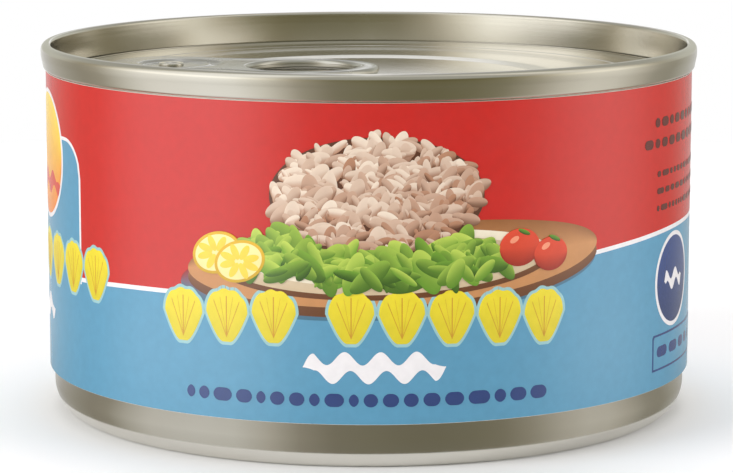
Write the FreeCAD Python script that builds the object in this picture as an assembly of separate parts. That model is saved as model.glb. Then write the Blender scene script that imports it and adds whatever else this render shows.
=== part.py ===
import FreeCAD, Part
import math
import os

os.makedirs("parts", exist_ok=True)

# A round, low food can: a drawn body shut by a seamed ring-pull end, with a wrap-round label.
# Millimetres and degrees. +Z is up, and the origin is the centre of the base plane.

# Whole can
can_height = 44.2  # base plane to the top of the seam
wall_radius = 38.64  # outside of the wall behind the label
sheet = 0.24  # thickness of the end's metal

# Body
neck_step = 0.26  # how much narrower the wall is below the label
neck_low = 5.25  # height where the wall starts to widen behind the label
neck_rise = 0.5  # height over which it widens
flare_radius = 4.05  # large arc from the wall towards the base
flare_sweep = 52.9  # angle that the large arc turns through
toe_radius = 0.72  # small arc that ends the flare on the foot
foot_land = 0.75  # width of the flat ring that the can stands on
recess_depth = 1.1  # how far the base panel sits above the foot
recess_slope = 0.9  # width of the slope from the foot up to that panel
recess_blend = 0.5
base_bead_inset = 10.6  # from the foot ring to the middle of the step in the base panel
base_bead_width = 2.4
base_bead_height = 0.35
base_bead_blend = 3.0

# Seam: the folded ring that locks the end to the body
seam_overhang = 0.86  # how far the seam stands out past the wall
seam_thickness = 1.2
seam_height = 3.05
seam_straight = 1.4  # upright part below the top, before the outside tapers
seam_taper = 0.32  # how much narrower the seam is at its lower edge
seam_outer_round = 0.75
seam_inner_round = 0.4
seam_waist_round = 2.0
seam_lower_round = 0.45
chuck_taper = 0.1  # how much the inner wall closes in on its way down

# End panel: depths are below the top of the seam
rim_depth = 3.72  # edge of the panel, beside the groove
groove_depth = 4.15  # bottom of the groove round the panel
groove_flat = 0.85  # flat bottom of the groove, with its corners
groove_slope = 0.35
groove_round = 0.35
shoulder_round = 0.5
bead_blend = 8.0  # blend at the head and foot of each step
# Inset of the middle from the foot of the chuck wall, width and drop of each step
step_outer = (2.2, 1.6, 0.22)
step_middle = (8.6, 2.0, 0.26)
step_inner = (16.2, 2.4, 0.22)
score_width = 0.44  # V cut that the end tears along
score_depth = 0.1
score_inset = 0.35  # how far the nose of the tab reaches past the score

# Pull tab, with X along it from the rivet towards the ring
tab_bearing = 167.2  # direction from the can's axis to the rivet
tab_depth = 3.3  # top of the tab below the top of the seam
tab_thickness = 1.04
tab_gap = 0.06  # clearance between the tab and the panel
tab_round = 0.48
nose_gap = 5.7  # from the nose to the foot of the chuck wall
island_centre = 1.25
island_radius = 5.2
island_depth = 0.42
island_draft = 0.35  # how much the recess narrows towards its floor
nose_border = 3.65  # metal between the island and the tip of the nose
nose_side = 1.7  # metal beside the island at the widest of the nose
nose_length = 6.0  # from the tip of the nose to its widest
waist_side = 1.3  # how much wider the waist is than the island, each side
bridge = 3.55  # metal between the island and the finger hole
hole_radius = 6.7
ring_side = 1.6  # metal beside the hole
ring_tip = 2.6  # metal past the hole

# Rivet
rivet_shank_radius = 0.95
rivet_head_lip = 0.6  # how far the head stands out past the shank
rivet_head_height = 0.34
rivet_head_round = 0.15
rivet_foot_lip = 0.65

# Label
label_thickness = 0.3
label_low = 5.29
label_seam_gap = 0.1  # between the label's top edge and the seam
lap_width = 8.0  # strip where the label's end lies over its start
lap_thickness = 0.12

# Sizes that follow from those above
base_wall_radius = wall_radius - neck_step
seam_radius = wall_radius + seam_overhang
chuck_radius = seam_radius - seam_thickness
chuck_foot_radius = chuck_radius - chuck_taper
seam_low = can_height - seam_height
nose_reach = nose_border + island_radius - island_centre
rivet_reach = chuck_foot_radius - nose_gap - nose_reach
score_radius = rivet_reach + nose_reach - score_inset
hole_centre = island_centre + island_radius + bridge + hole_radius

AXIS = FreeCAD.Vector(0, 0, 1)
CENTRE = FreeCAD.Vector(0, 0, 0)
FULL_TURN = 360
LAP_BEARING = 90  # the lap is at the back
OUTLINE_STEPS = 3  # stretches in each quarter of the tab's rounded ends
STEPS = (step_outer, step_middle, step_inner)  # from the rim inwards


def point(radius, height):
    """A point of a turned outline, in the XZ plane."""
    return FreeCAD.Vector(radius, 0, height)


def unit(start, end):
    length = math.hypot(end[0] - start[0], end[1] - start[1])
    return ((end[0] - start[0]) / length, (end[1] - start[1]) / length)


def turn_between(before, after):
    """Signed angle from one direction to the next, left turns positive."""
    cross = before[0] * after[1] - before[1] * after[0]
    dot = before[0] * after[0] + before[1] * after[1]
    return math.atan2(cross, dot)


def rounded_path(corners):
    """Edges through corners of (radius, height, rounding), each inner corner rounded by a tangent arc."""
    edges = []
    start = point(*corners[0][:2])
    for before, corner, after in zip(corners, corners[1:], corners[2:]):
        into = unit(before, corner)
        out = unit(corner, after)
        turn = turn_between(into, out)
        rounding = corner[2]
        if rounding > 0 and abs(turn) > 1e-6:
            reach = rounding * math.tan(abs(turn) / 2)
            first = point(corner[0] - reach * into[0], corner[1] - reach * into[1])
            last = point(corner[0] + reach * out[0], corner[1] + reach * out[1])
            sagitta = rounding / math.cos(turn / 2) - rounding
            inward = unit((0, 0), (out[0] - into[0], out[1] - into[1]))
            middle = point(corner[0] + sagitta * inward[0], corner[1] + sagitta * inward[1])
            edges.append(Part.LineSegment(start, first).toShape())
            edges.append(Part.Arc(first, middle, last).toShape())
            start = last
        else:
            end = point(*corner[:2])
            edges.append(Part.LineSegment(start, end).toShape())
            start = end
    edges.append(Part.LineSegment(start, point(*corners[-1][:2])).toShape())
    return edges


def offset_right(corners, distance):
    """The same corners moved to the right of the path, so that the sheet between them is even."""
    moved = []
    for index, corner in enumerate(corners):
        into = unit(corners[max(index - 1, 0)], corners[max(index, 1)])
        out = unit(corners[min(index, len(corners) - 2)], corners[min(index + 1, len(corners) - 1)])
        turn = turn_between(into, out)
        mitre = distance / math.cos(turn / 2)
        along = unit((0, 0), (into[0] + out[0], into[1] + out[1]))
        rounding = max(corner[2] + math.copysign(distance, turn), 0) if corner[2] else 0
        moved.append((corner[0] + mitre * along[1], corner[1] - mitre * along[0], rounding))
    return moved


def turned(edges, sweep=FULL_TURN):
    """The solid swept by a closed outline about the can's axis."""
    face = Part.Face(Part.Wire(edges))
    return face.revolve(CENTRE, AXIS, sweep)


def straight_edges(points):
    return [Part.LineSegment(point(*a), point(*b)).toShape() for a, b in zip(points, points[1:])]


def panel_corners():
    """Upper side of the end from the axis to the top of the chuck wall, without the score."""
    rim_z = can_height - rim_depth
    corners = []
    for inset, width, drop in STEPS:
        middle = chuck_foot_radius - inset
        corners.append((middle + width / 2, rim_z, bead_blend))
        rim_z -= drop
        corners.append((middle - width / 2, rim_z, bead_blend))
    corners.append((0, rim_z, 0))
    corners.reverse()
    groove_z = can_height - groove_depth
    groove_start = chuck_foot_radius - groove_flat
    corners.append((groove_start - groove_slope, can_height - rim_depth, shoulder_round))
    corners.append((groove_start, groove_z, groove_round))
    corners.append((chuck_foot_radius, groove_z, groove_round))
    corners.append((chuck_radius, can_height, seam_inner_round))
    return corners


def scored(corners):
    """The panel's corners with the V of the score added on the outer flat."""
    outer_flat_z = panel_height_at(score_radius)
    cut = [
        (score_radius - score_width / 2, outer_flat_z, 0),
        (score_radius, outer_flat_z - score_depth, 0),
        (score_radius + score_width / 2, outer_flat_z, 0),
    ]
    inside = [corner for corner in corners if corner[0] < score_radius]
    outside = [corner for corner in corners if corner[0] > score_radius]
    return inside + cut + outside


def underside_corners():
    """Lower side of the end, which the can's body meets face to face, up to the seam's lower edge."""
    corners = offset_right(panel_corners(), sheet)
    top = corners.pop()
    foot = corners[-1]
    share = (seam_low - foot[1]) / (top[1] - foot[1])
    corners[0] = (0, corners[0][1], 0)
    corners.append((foot[0] + share * (top[0] - foot[0]), seam_low, 0))
    return corners


def make_end():
    """Seam, chuck wall, groove and stepped panel, in one sheet."""
    under = underside_corners()
    corners = scored(panel_corners())
    corners.append((seam_radius, can_height, seam_outer_round))
    corners.append((seam_radius, can_height - seam_straight, seam_waist_round))
    corners.append((seam_radius - seam_taper, seam_low, seam_lower_round))
    corners.append(under[-1])
    edges = rounded_path(corners)
    edges += rounded_path(under)
    edges.append(Part.LineSegment(point(*under[0][:2]), point(*corners[0][:2])).toShape())
    return turned(Part.__sortEdges__(edges))


def make_body():
    """Drawn cup with its contents, solid up to the underside of the end."""
    sweep = math.radians(flare_sweep)
    apart = flare_radius - toe_radius
    flare_centre = (base_wall_radius - flare_radius, toe_radius + apart * math.sin(sweep))
    toe_centre = (flare_centre[0] + apart * math.cos(sweep), toe_radius)

    def on_arc(centre, radius, angle):
        return point(centre[0] + radius * math.cos(angle), centre[1] - radius * math.sin(angle))

    foot = on_arc(toe_centre, toe_radius, math.pi / 2)
    joint = on_arc(toe_centre, toe_radius, sweep)
    flare_top = on_arc(flare_centre, flare_radius, 0)
    toe_middle = on_arc(toe_centre, toe_radius, (sweep + math.pi / 2) / 2)
    flare_middle = on_arc(flare_centre, flare_radius, sweep / 2)
    land_inner = foot.x - foot_land
    recess_radius = land_inner - recess_slope
    bead_radius = land_inner - base_bead_inset
    bead_top = recess_depth + base_bead_height
    base = [
        (0, bead_top, 0),
        (bead_radius - base_bead_width / 2, bead_top, base_bead_blend),
        (bead_radius + base_bead_width / 2, recess_depth, base_bead_blend),
        (recess_radius, recess_depth, recess_blend),
        (land_inner, 0, recess_blend),
        (foot.x, 0, 0),
    ]
    edges = rounded_path(base)
    edges.append(Part.Arc(foot, toe_middle, joint).toShape())
    edges.append(Part.Arc(joint, flare_middle, flare_top).toShape())
    under = underside_corners()
    edges += straight_edges(
        [
            (flare_top.x, flare_top.z),
            (base_wall_radius, neck_low),
            (wall_radius, neck_low + neck_rise),
            (wall_radius, seam_low),
            under[-1][:2],
        ]
    )
    edges += rounded_path(under)
    edges += straight_edges([under[0][:2], (0, bead_top)])
    return turned(Part.__sortEdges__(edges))


def make_label():
    """Paper sleeve round the wall, with a lap where its two ends meet."""
    outer = wall_radius + label_thickness
    high = seam_low - label_seam_gap
    sleeve = turned(ring_outline(wall_radius, outer, label_low, high))
    lap_sweep = math.degrees(lap_width / outer)
    lap = turned(ring_outline(outer - label_thickness / 2, outer + lap_thickness, label_low, high), lap_sweep)
    lap.rotate(CENTRE, AXIS, LAP_BEARING - lap_sweep / 2)
    return sleeve.fuse(lap).removeSplitter()


def ring_outline(inner, outer, low, high):
    return straight_edges([(inner, low), (outer, low), (outer, high), (inner, high), (inner, low)])


def place_on_lid(shape):
    """Puts a shape drawn about the rivet, with +X towards the ring, at the rivet's place on the end."""
    shape.translate(FreeCAD.Vector(-rivet_reach, 0, 0))
    shape.rotate(CENTRE, AXIS, tab_bearing - FULL_TURN / 2)
    return shape


def quarter_ellipse(centre, length, width, start, end):
    """Points on an ellipse about (centre, 0), from one angle to another."""
    angles = [math.radians(start + (end - start) * step / OUTLINE_STEPS) for step in range(OUTLINE_STEPS + 1)]
    return [(centre + length * math.cos(angle), width * math.sin(angle)) for angle in angles]


def tab_outline():
    """Smooth closed outline: an elliptic nose, a waist and an elliptic ring, the same on both sides."""
    nose_half_width = island_radius + nose_side
    ring_half_width = hole_radius + ring_side
    ring_length = hole_radius + ring_tip
    half = quarter_ellipse(nose_length - nose_reach, nose_length, nose_half_width, 180, 90)
    half.append((hole_centre / 2, island_radius + waist_side))
    half += quarter_ellipse(hole_centre, ring_length, ring_half_width, 90, 0)
    lower = [(x, -y) for x, y in reversed(half[1:-1])]
    curve = Part.BSplineCurve()
    curve.interpolate(Points=[FreeCAD.Vector(x, y, 0) for x, y in half + lower], PeriodicFlag=True)
    return Part.Wire([curve.toShape()])


def below_panel(clearance):
    """Space under the end's upper side, raised by a clearance, out to the groove."""
    raised = [(radius, height + clearance, rounding) for radius, height, rounding in panel_corners()[:-3]]
    edges = rounded_path(raised)
    edges += straight_edges([raised[-1][:2], (raised[-1][0], 0), (0, 0), raised[0][:2]])
    return turned(Part.__sortEdges__(edges))


def make_tab():
    """Ring-pull with a rolled edge, a finger hole and a sunk island round the rivet."""
    top = can_height - tab_depth
    slab = Part.Face(tab_outline()).extrude(FreeCAD.Vector(0, 0, tab_thickness))
    hole = Part.makeCylinder(hole_radius, tab_thickness, FreeCAD.Vector(hole_centre, 0, 0))
    slab = slab.cut(hole)
    rims = [edge for edge in slab.Edges if edge.BoundBox.ZLength < 1e-6]
    slab = slab.makeFillet(tab_round, rims)
    floor = FreeCAD.Vector(island_centre, 0, tab_thickness - island_depth)
    slab = slab.cut(Part.makeCone(island_radius - island_draft, island_radius, island_depth, floor))
    slab.translate(FreeCAD.Vector(0, 0, top - tab_thickness))
    return place_on_lid(slab).cut(below_panel(tab_gap)).cut(make_rivet())


def panel_height_at(radius):
    """Height of the panel's flat that holds this radius."""
    height = can_height - rim_depth
    for inset, _, drop in STEPS:
        if radius < chuck_foot_radius - inset:
            height -= drop
    return height


def make_rivet():
    """Rivet pressed up from the panel, through the island, with a flat head."""
    low = panel_height_at(rivet_reach)
    island = can_height - tab_depth - island_depth
    corners = [
        (0, low, 0),
        (rivet_shank_radius + rivet_foot_lip, low, 0),
        (rivet_shank_radius + rivet_foot_lip, low + tab_gap, 0),
        (rivet_shank_radius, low + tab_gap, 0),
        (rivet_shank_radius, island, 0),
        (rivet_shank_radius + rivet_head_lip, island, 0),
        (rivet_shank_radius + rivet_head_lip, island + rivet_head_height, rivet_head_round),
        (0, island + rivet_head_height, 0),
        (0, low, 0),
    ]
    return place_on_lid(turned(rounded_path(corners))).cut(below_panel(0))


NODES = {
    "can_body": make_body,
    "lid_end": make_end,
    "pull_tab": make_tab,
    "tab_rivet": make_rivet,
    "label_wrap": make_label,
}

for name, make in NODES.items():
    shape = make()
    shape.exportStep(f"parts/{name}.step")
    print(name, "valid", shape.isValid(), "solids", len(shape.Solids), "volume", round(shape.Volume, 2))
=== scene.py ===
# %% [markdown]
# # The looks of a shut tuna can
# A tuna can is a low drawn cup, shut by a ring-pull end that is rolled over its edge, with a
# printed paper sleeve round the wall. The solids are already packed in one fixed frame. This
# lesson gives them their looks: satin turned metal, a printed sleeve, and a small studio.

# %% Load the frame
import math

import bpy
import numpy as np
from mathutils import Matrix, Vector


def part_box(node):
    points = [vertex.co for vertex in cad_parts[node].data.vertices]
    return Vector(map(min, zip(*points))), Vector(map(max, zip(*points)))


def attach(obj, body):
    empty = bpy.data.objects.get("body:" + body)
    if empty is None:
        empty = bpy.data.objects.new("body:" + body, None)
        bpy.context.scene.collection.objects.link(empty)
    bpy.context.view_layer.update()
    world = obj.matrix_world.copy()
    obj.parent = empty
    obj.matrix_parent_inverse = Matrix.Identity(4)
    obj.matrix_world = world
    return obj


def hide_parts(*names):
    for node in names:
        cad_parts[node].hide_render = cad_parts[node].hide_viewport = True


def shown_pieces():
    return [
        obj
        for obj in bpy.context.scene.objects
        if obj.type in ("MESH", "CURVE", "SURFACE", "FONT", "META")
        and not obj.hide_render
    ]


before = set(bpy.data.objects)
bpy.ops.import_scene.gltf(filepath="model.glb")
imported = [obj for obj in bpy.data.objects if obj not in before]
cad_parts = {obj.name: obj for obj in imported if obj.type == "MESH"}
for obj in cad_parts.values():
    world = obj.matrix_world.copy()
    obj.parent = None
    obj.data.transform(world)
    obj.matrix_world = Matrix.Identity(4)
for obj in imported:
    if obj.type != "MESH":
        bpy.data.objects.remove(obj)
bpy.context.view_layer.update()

MM = 0.001
print("nodes:", sorted(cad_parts))

# %% [markdown]
# ## Sizes
# The pieces are built in millimetres, and become metres when their mesh is made. The sizes that
# place everything, the can's height, the seam's radius, the label's edges and the top of the tab,
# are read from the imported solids. The rest are small steps and roundings, which a box can't tell.

# %% Sizes read from the frame
can_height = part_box("lid_end")[1].z / MM
seam_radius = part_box("lid_end")[1].x / MM
label_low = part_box("label_wrap")[0].z / MM
label_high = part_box("label_wrap")[1].z / MM
tab_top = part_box("pull_tab")[1].z / MM
rivet_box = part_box("tab_rivet")
rivet_place = np.array([corner[:2] for corner in rivet_box]).mean(0) / MM
rivet_top = rivet_box[1].z / MM
seam_gap, seam_overhang, label_stand = 0.1, 0.86, 0.3
seam_low = label_high + seam_gap
wall_radius = seam_radius - seam_overhang
label_radius = wall_radius + label_stand
print(f"height {can_height:.2f}, seam radius {seam_radius:.2f}")
print(f"label from {label_low:.2f} to {label_high:.2f}, radius {label_radius:.2f}")
print(f"tab top {tab_top:.2f}, rivet at {rivet_place.round(2)}, its top {rivet_top:.2f}")

# %% [markdown]
# ## Camera
# The camera stands a little above the can's shoulder and looks slightly down with a long lens: the
# rim then reads as a slim ellipse, and the label is hardly bent. It comes first, because the
# detail of every piece depends on how large it shows.

# %% Camera
camera_data = bpy.data.cameras.new("camera")
camera = bpy.data.objects.new("camera", camera_data)
bpy.context.scene.collection.objects.link(camera)
camera.location = (-0.00028, -0.36735, 0.07988)
camera.rotation_euler = (math.radians(80.75), 0, 0)
camera_data.sensor_width = 36
camera_data.lens = 149.55
bpy.context.scene.camera = camera
bpy.context.scene.view_settings.view_transform = "Standard"
print("camera", [round(v, 4) for v in camera.location], "lens", camera_data.lens)

# %% [markdown]
# ## From arrays to a mesh
# Every piece is an array of points and an array of faces. One helper turns those into an object:
# it shades the mesh smooth, keeps an edge sharp where two faces meet at a clear angle, and lets
# the piece ride on the frame's only body.

# %% Helper: a piece from points and faces
def make_piece(name, points, faces, slot=None, smooth=True):
    """A mesh object at the origin. Points are in millimetres, and faces is a list of index arrays,
    one for each size of face."""
    mesh = bpy.data.meshes.new(name)
    face_list = sum((block.tolist() for block in faces), [])
    mesh.from_pydata((np.asarray(points) * MM).tolist(), [], face_list)
    if smooth:
        mesh.shade_smooth()
        mesh.set_sharp_from_angle(angle=math.radians(40))
    piece = bpy.data.objects.new(name, mesh)
    bpy.context.scene.collection.objects.link(piece)
    if slot:
        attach(piece, "root")
    print(name, len(mesh.vertices), "vertices", len(mesh.polygons), "faces")
    return piece


def grid_faces(rows, columns, close_columns=True, close_rows=False):
    """Quads between neighbouring points of a rows x columns grid, as indices into the flat grid."""
    row = np.arange(rows if close_rows else rows - 1)
    column = np.arange(columns if close_columns else columns - 1)
    i, j = (part.ravel() for part in np.meshgrid(row, column, indexing="ij"))
    next_i, next_j = (i + 1) % rows, (j + 1) % columns
    here, after = i * columns, next_i * columns
    return np.stack([here + j, here + next_j, after + next_j, after + j], 1)


# %% [markdown]
# ## Turned outlines
# The can's metal is pressed and rolled by round tools, so each part is an outline carried round
# the axis. The outline is drawn the way a toolmaker dimensions it: straight runs between corners,
# each corner with a rounding.

# %% Helpers: a rounded outline, and turning it
def rounded_profile(corners, arc_steps=8):
    """Points through corners of (radius, height, rounding).

    At each corner the outline leaves the first run at rounding x tan(turn / 2) before the corner,
    follows an arc about a centre square to that run, and joins the next run, tangent to both.
    """
    corners = np.array(corners, float)
    run = np.diff(corners[:, :2], axis=0)
    run /= np.linalg.norm(run, axis=1)[:, None]
    into, out = run[:-1], run[1:]
    turn = np.arctan2(into[:, 0] * out[:, 1] - into[:, 1] * out[:, 0], (into * out).sum(1))
    rounding = corners[1:-1, 2]
    first = corners[1:-1, :2] - (rounding * np.tan(np.abs(turn) / 2))[:, None] * into
    arm = -np.stack([-into[:, 1], into[:, 0]], 1) * (np.sign(turn) * rounding)[:, None]
    angle = turn[:, None] * np.linspace(0, 1, arc_steps + 1)
    cos, sin, arm_x, arm_z = np.cos(angle), np.sin(angle), arm[:, :1], arm[:, 1:]
    swung = np.stack([cos * arm_x - sin * arm_z, sin * arm_x + cos * arm_z], 2)
    arcs = (first - arm)[:, None] + swung
    points = np.concatenate([corners[:1, :2], arcs.reshape(-1, 2), corners[-1:, :2]])
    far_enough = np.r_[True, np.linalg.norm(np.diff(points, axis=0), axis=1) > 1e-5]
    return points[far_enough]


def turned_piece(name, profile, around=360, centre=(0, 0), **options):
    """The profile goes round an upright axis: x = radius x cos, y = radius x sin. It starts and
    ends on the axis, where one vertex and a fan of triangles close each pole."""
    angle = np.linspace(0, 2 * math.pi, around, endpoint=False)
    rings = profile[1:-1]
    x = centre[0] + rings[:, :1] * np.cos(angle)
    y = centre[1] + rings[:, :1] * np.sin(angle)
    points = np.stack([x, y, np.repeat(rings[:, 1:], around, 1)], 2).reshape(-1, 3)
    start, end = len(points), len(points) + 1
    poles = [[*centre, profile[0, 1]], [*centre, profile[-1, 1]]]
    step = np.arange(around)
    after = (step + 1) % around
    last_ring = (len(rings) - 1) * around
    first_fan = np.stack([np.full(around, start), after, step], 1)
    last_fan = np.stack([np.full(around, end), last_ring + step, last_ring + after], 1)
    quads = grid_faces(len(rings), around)
    return make_piece(name, np.vstack([points, poles]), [first_fan, quads, last_fan], **options)


# %% [markdown]
# ## The ring-pull end
# The end is one pressed sheet: a flat middle, three shallow steps that let it flex, a groove, the
# upright chuck wall, and the seam that is rolled over the body's edge. Its upper side is drawn
# from the axis outwards, and its underside is the same outline a sheet's thickness lower. The V of
# the score line runs round the outer flat.

# %% The end's outline
sheet = 0.24
chuck_radius = seam_radius - 1.2
chuck_foot_radius = chuck_radius - 0.1
rim_z = can_height - 3.72
groove_z = can_height - 4.15
# Inset, width and drop of each step, from the outside in.
steps = [(2.2, 1.6, 0.22), (8.6, 2.0, 0.26), (16.2, 2.4, 0.22)]
step_inset, step_width, step_drop = np.array(steps).T
step_middle = chuck_foot_radius - step_inset
step_rounding = np.full(3, 8.0)
foot_z = rim_z - np.cumsum(step_drop)
step_heads = np.stack([step_middle + step_width / 2, foot_z + step_drop, step_rounding], 1)
step_feet = np.stack([step_middle - step_width / 2, foot_z, step_rounding], 1)
step_corners = np.stack([step_feet, step_heads], 1)[::-1].reshape(-1, 3).tolist()
panel = [[0, foot_z[-1], 0], *step_corners]
groove_start = chuck_foot_radius - 0.85
panel += [
    [groove_start - 0.35, rim_z, 0.5],
    [groove_start, groove_z, 0.35],
    [chuck_foot_radius, groove_z, 0.35],
]
score_radius, score_width, score_depth = 32.15, 0.44, 0.1
score = [
    [score_radius - score_width / 2, foot_z[0], 0.05],
    [score_radius, foot_z[0] - score_depth, 0.04],
    [score_radius + score_width / 2, foot_z[0], 0.05],
]
scored_panel = sorted(panel + score, key=lambda corner: corner[0])
seam = [
    [chuck_radius, can_height, 0.4],
    [seam_radius, can_height, 0.75],
    [seam_radius, can_height - 1.4, 2.0],
    [seam_radius - 0.32, seam_low, 0.45],
]
underside = [[radius, height - sheet, rounding] for radius, height, rounding in panel[:-1]]
underside += [
    [chuck_foot_radius + sheet, groove_z - sheet, 0.5],
    [chuck_foot_radius + sheet + 0.03, seam_low, 0],
]
end_profile = rounded_profile(underside + seam[::-1] + scored_panel[::-1])
lid = turned_piece("ring_pull_end", end_profile, slot="end_metal")
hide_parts("lid_end")

# %% [markdown]
# ## The drawn body
# The body is a cup drawn from one disc. Below the label its wall narrows a little, then turns in
# through a large arc and a small one to the narrow ring that the can stands on. Inside that ring
# the base is pushed up, with a stepped bead that keeps it from bulging. Only a hair of the wall
# shows, above and below the label.

# %% The body
base_wall_radius = wall_radius - 0.26
flare_radius, flare_sweep, toe_radius = 4.05, math.radians(52.9), 0.72
arm = flare_radius - toe_radius
flare_height = toe_radius + arm * math.sin(flare_sweep)
flare_centre = np.array([base_wall_radius - flare_radius, flare_height])
toe_centre = np.array([flare_centre[0] + arm * math.cos(flare_sweep), toe_radius])
land_inner = toe_centre[0] - 0.75
recess_z = 1.1
base = [
    [0, recess_z + 0.35, 0],
    [land_inner - 11.8, recess_z + 0.35, 3.0],
    [land_inner - 9.4, recess_z, 3.0],
    [land_inner - 0.9, recess_z, 0.5],
    [land_inner, 0, 0.5],
    [toe_centre[0], 0, 0],
]


def arc_down(centre, radius, start, end, count):
    """Points below and outside a centre, at angles measured down from level."""
    angle = np.linspace(start, end, count)
    return centre + radius * np.stack([np.cos(angle), -np.sin(angle)], 1)


toe = arc_down(toe_centre, toe_radius, math.pi / 2, flare_sweep, 8)
flare = arc_down(flare_centre, flare_radius, flare_sweep, 0, 20)
wall = [[base_wall_radius, 5.25], [wall_radius, 5.75], [wall_radius, seam_low + 0.3]]
end_gap = 0.03
filled = [[radius, height - end_gap, rounding] for radius, height, rounding in underside]
under_end = rounded_profile(filled)[::-1]
body_profile = np.vstack([rounded_profile(base)[:-1], toe, flare[1:], wall, under_end])
body = turned_piece("drawn_body", body_profile, slot="body_metal")
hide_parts("can_body")

# %% [markdown]
# ## The pull tab
# The tab is stamped from thicker strip and its edges are curled under, so both the outline and the
# finger hole have round rims. Its surface is a grid of two parameters. One goes round, at the
# angle about the hole. The other goes once round the section: inner rim, upper side, outer rim,
# underside. The island round the rivet is pressed down afterwards, by lowering the points near it.

# %% The tab's outline
tab_along = -rivet_place / np.linalg.norm(rivet_place)
tab_across = np.array([-tab_along[1], tab_along[0]])
tab_thickness, tab_round = 1.04, 0.48
hole_centre, hole_radius = 16.7, 6.7
nose_tip, nose_length, nose_half_width = -7.6, 6.0, 6.9
ring_length, ring_half_width, waist_draw = 9.3, 8.3, 1.1


def tab_outline(angle):
    """Distance from the hole's centre to the outline: an elliptic ring in front, an elliptic nose
    behind, and sides that run between them over a slight waist. The outline is drawn densely, then
    read at each angle."""
    turn = np.linspace(0, math.pi / 2, 200)
    ring = np.stack([hole_centre + ring_length * np.cos(turn), ring_half_width * np.sin(turn)], 1)
    nose_x = nose_tip + nose_length
    share = np.linspace(0, 1, 200)[1:-1]
    side_y = ring_half_width + (nose_half_width - ring_half_width) * share
    side_y -= waist_draw * np.sin(math.pi * share) ** 2
    side = np.stack([hole_centre + (nose_x - hole_centre) * share, side_y], 1)
    nose = np.stack([nose_x - nose_length * np.sin(turn), nose_half_width * np.cos(turn)], 1)
    half = np.vstack([ring, side, nose])
    bearing = np.arctan2(half[:, 1], half[:, 0] - hole_centre)
    reach = np.hypot(half[:, 0] - hole_centre, half[:, 1])
    return np.interp(np.abs(angle), bearing, reach)


# %% The tab's surface
columns = 480
angle = np.linspace(-math.pi, math.pi, columns, endpoint=False)
direction = np.stack([np.cos(angle), np.sin(angle)], 1)
outline = [hole_centre, 0] + tab_outline(angle)[:, None] * direction
tangent = np.roll(outline, -1, 0) - np.roll(outline, 1, 0)
inward = np.stack([-tangent[:, 1], tangent[:, 0]], 1)
inward /= np.linalg.norm(tangent, axis=1)[:, None]
outer_line = outline + tab_round * inward
inner_line = [hole_centre, 0] + (hole_radius + tab_round) * direction
half_thick = tab_thickness / 2
curl = np.linspace(-math.pi / 2, math.pi / 2, 13)
curl_side, curl_up = tab_round * np.cos(curl), half_thick * np.sin(curl)
top_share = np.linspace(0, 1, 74)[1:-1]
bottom_share = np.linspace(1, 0, 20)[1:-1]


def between(share):
    """Straight rows from the inner line to the outer one."""
    return inner_line[None] + share[:, None, None] * (outer_line - inner_line)[None]


inner_rim = inner_line[None] - curl_side[:, None, None] * direction[None]
outer_rim = outer_line[None] - curl_side[::-1, None, None] * inward[None]
flat = np.concatenate([inner_rim, between(top_share), outer_rim, between(bottom_share)])
top_level = np.full(len(top_share), half_thick)
bottom_level = np.full(len(bottom_share), -half_thick)
level = np.concatenate([curl_up, top_level, curl_up[::-1], bottom_level])
height = np.repeat(level[:, None], columns, 1)
print("the tab's section has", len(level), "points and its outline", columns)

# %% [markdown]
# The island is a round dish with a soft wall. Its bottom stays flat for the rivet, and a low
# crescent on the ring side of the rivet, which is what lets the real island hinge, is pressed up
# again by a fifth of a millimetre.

# %% The island, and the finished tab
island_centre, island_radius, island_depth, island_draft = 1.25, 5.2, 0.42, 0.5
crescent_radius, crescent_width, crescent_rise = 3.4, 0.45, 0.2
rim_swell, end_clearance = 0.12, 0.06


def smooth_step(value, start, end):
    """0 before start, 1 after end, and 3t^2 - 2t^3 in between."""
    t = np.clip((value - start) / (end - start), 0, 1)
    return t * t * (3 - 2 * t)


upper = (height > 0).astype(float)
from_island = np.hypot(flat[..., 0] - island_centre, flat[..., 1])
dish = 1 - smooth_step(from_island, island_radius - island_draft, island_radius + 0.1)
crescent = np.exp(-(((from_island - crescent_radius) / crescent_width) ** 2))
crescent *= smooth_step(flat[..., 0], 0.6, 3.0)
on_top = np.zeros(len(level))
on_top[len(curl_up) : len(curl_up) + len(top_share)] = np.sin(math.pi * top_share) ** 0.7
height = height - upper * island_depth * dish + upper * crescent_rise * crescent
height = height - rim_swell * on_top[:, None] * (1 - dish) * upper
tab_z = tab_top - half_thick + height
tab_xy = rivet_place + flat[..., :1] * tab_along + flat[..., 1:] * tab_across
tab_points = np.concatenate([tab_xy, tab_z[..., None]], 2)
end_radius, end_height = end_profile[::-1][:60].T  # the upper side, from the axis outwards
lowest = np.interp(np.hypot(tab_xy[..., 0], tab_xy[..., 1]), end_radius, end_height)
tab_points[..., 2] = np.maximum(tab_points[..., 2], lowest + end_clearance)
tab_faces = grid_faces(len(level), columns, close_rows=True)[:, ::-1]
tab = make_piece("pull_tab_ring", tab_points.reshape(-1, 3), [tab_faces], slot="tab_metal")
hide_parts("pull_tab")

# %% [markdown]
# ## The rivet
# The rivet is a button of the end's own metal, pressed up through the island and flattened. It is
# one more turned outline, about its own axis.

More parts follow.
